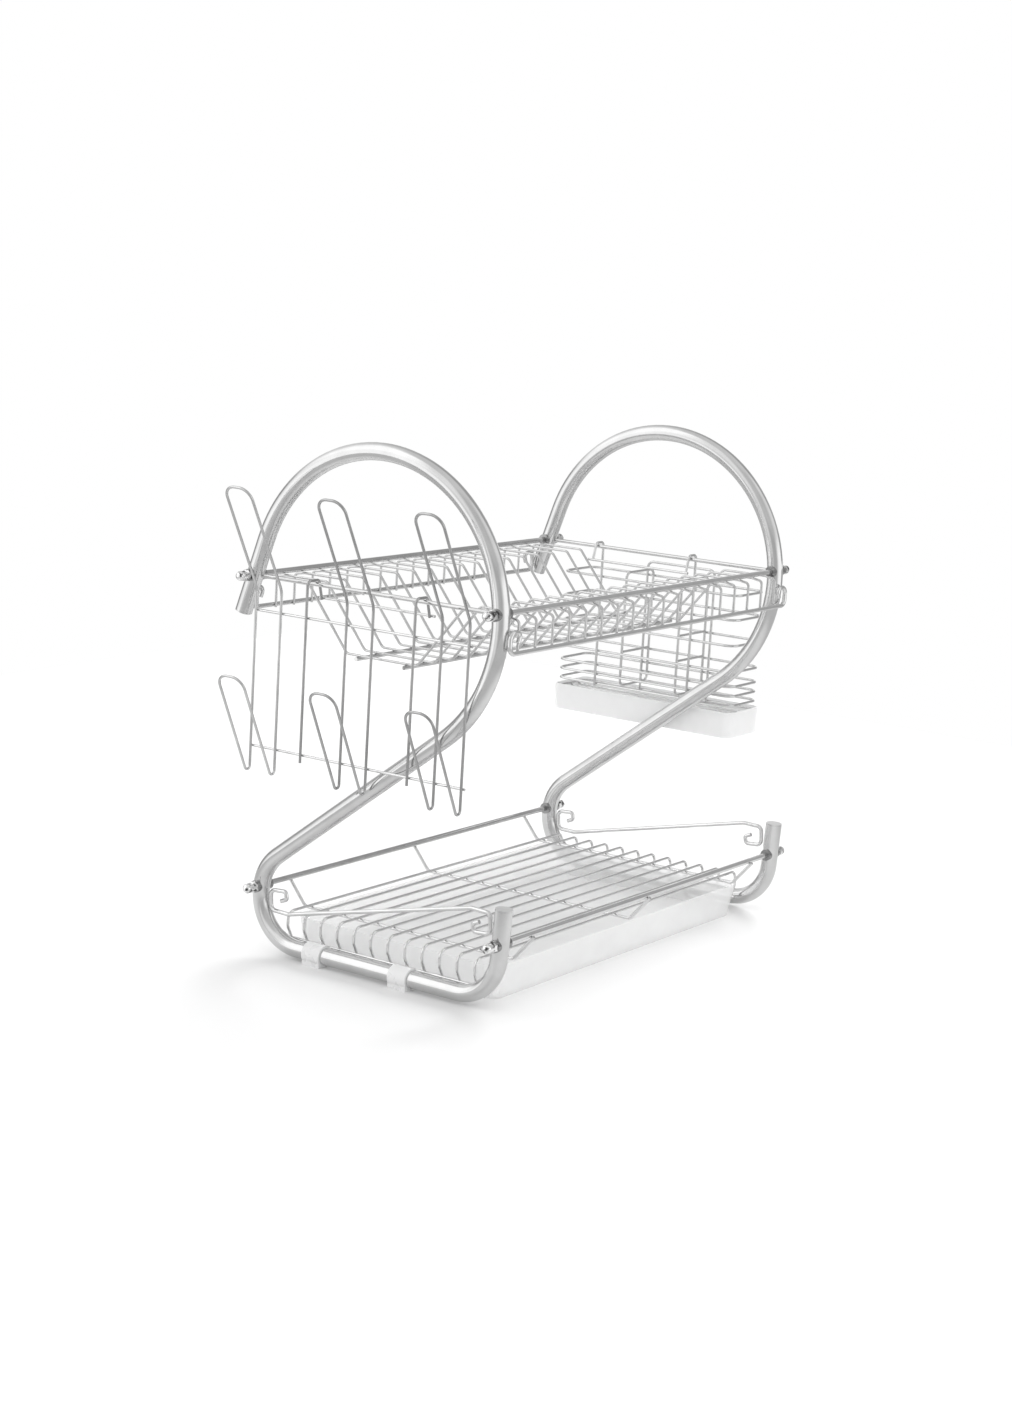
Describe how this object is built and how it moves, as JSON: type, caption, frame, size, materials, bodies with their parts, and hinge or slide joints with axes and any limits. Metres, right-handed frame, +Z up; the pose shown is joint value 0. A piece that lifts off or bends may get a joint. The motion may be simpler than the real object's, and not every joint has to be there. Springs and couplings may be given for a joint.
{
  "type": "dish drying rack",
  "caption": "Two-tier chrome wire dish rack on bent S tubes, with plate slots, mug hooks, cutlery basket, drip cup and slide-out drip tray.",
  "frame": {"origin": "middle of the whole rack's box, on the counter", "axes": "+X along the rails towards the cutlery basket, +Y towards the back, +Z up"},
  "size_m": [0.462, 0.2428, 0.3629],
  "materials": {
    "tube": "satin-bright chrome plate on bent steel tube",
    "cap": "bright plated caps in the tube ends",
    "fastener": "bright plated cap nuts",
    "washer": "dark plated saddle washers",
    "wire": "chrome-plated steel wire",
    "hook_wire": "chrome-plated steel wire",
    "basket_wire": "chrome-plated steel wire",
    "clear_plastic": "clear plastic foot clips",
    "cup_plastic": "frosted translucent white plastic",
    "tray_plastic": "translucent white plastic"
  },
  "bodies": {
    "frame": {"left_s_tube": "tube", "right_s_tube": "tube", "left_end_caps": "cap", "right_end_caps": "cap", "cap_nuts": "fastener", "saddle_washers": "washer", "left_end_bar": "wire", "right_end_bar": "wire", "left_scroll_guard": "wire", "right_scroll_guard": "wire", "upper_back_rail": "wire", "upper_front_rail": "wire", "lower_back_rail": "wire", "lower_front_rail": "wire", "plate_wires": "wire", "back_skirt_rod": "wire", "front_skirt_rod": "wire", "trough_rods": "wire", "deck_wires": "wire", "deck_left_rod": "wire", "deck_right_rod": "wire", "deck_supports": "wire", "left_feet": "clear_plastic", "right_feet": "clear_plastic"},
    "mug_holder": {"mug_hook_back": "hook_wire", "mug_hook_middle": "hook_wire", "mug_hook_front": "hook_wire", "mug_hanger_back": "hook_wire", "mug_hanger_front": "hook_wire", "mug_hook_tie": "hook_wire", "mug_upper_bar": "hook_wire", "mug_lower_bar": "hook_wire"},
    "cutlery_basket": {"basket_rings": "basket_wire", "basket_dividers": "basket_wire", "basket_arch": "basket_wire", "basket_base_wires": "basket_wire", "basket_hanger_back": "basket_wire", "basket_hanger_front": "basket_wire", "basket_hook_tie": "basket_wire"},
    "drip_cup": {"drip_cup": "cup_plastic"},
    "drip_tray": {"drip_tray": "tray_plastic"}
  },
  "joints": [
    {"name": "mug_holder_lift", "type": "slide", "parent": "frame", "child": "mug_holder", "axis": [0, 0, 1], "range_m": [0, 0.03]},
    {"name": "cutlery_basket_lift", "type": "slide", "parent": "frame", "child": "cutlery_basket", "axis": [0, 0, 1], "range_m": [0, 0.03]},
    {"name": "drip_cup_pull", "type": "slide", "parent": "cutlery_basket", "child": "drip_cup", "axis": [0, 0, -1], "range_m": [0, 0.03]},
    {"name": "drip_tray_slide", "type": "slide", "parent": "frame", "child": "drip_tray", "axis": [0, -1, 0], "range_m": [0, 0.25]}
  ]
}
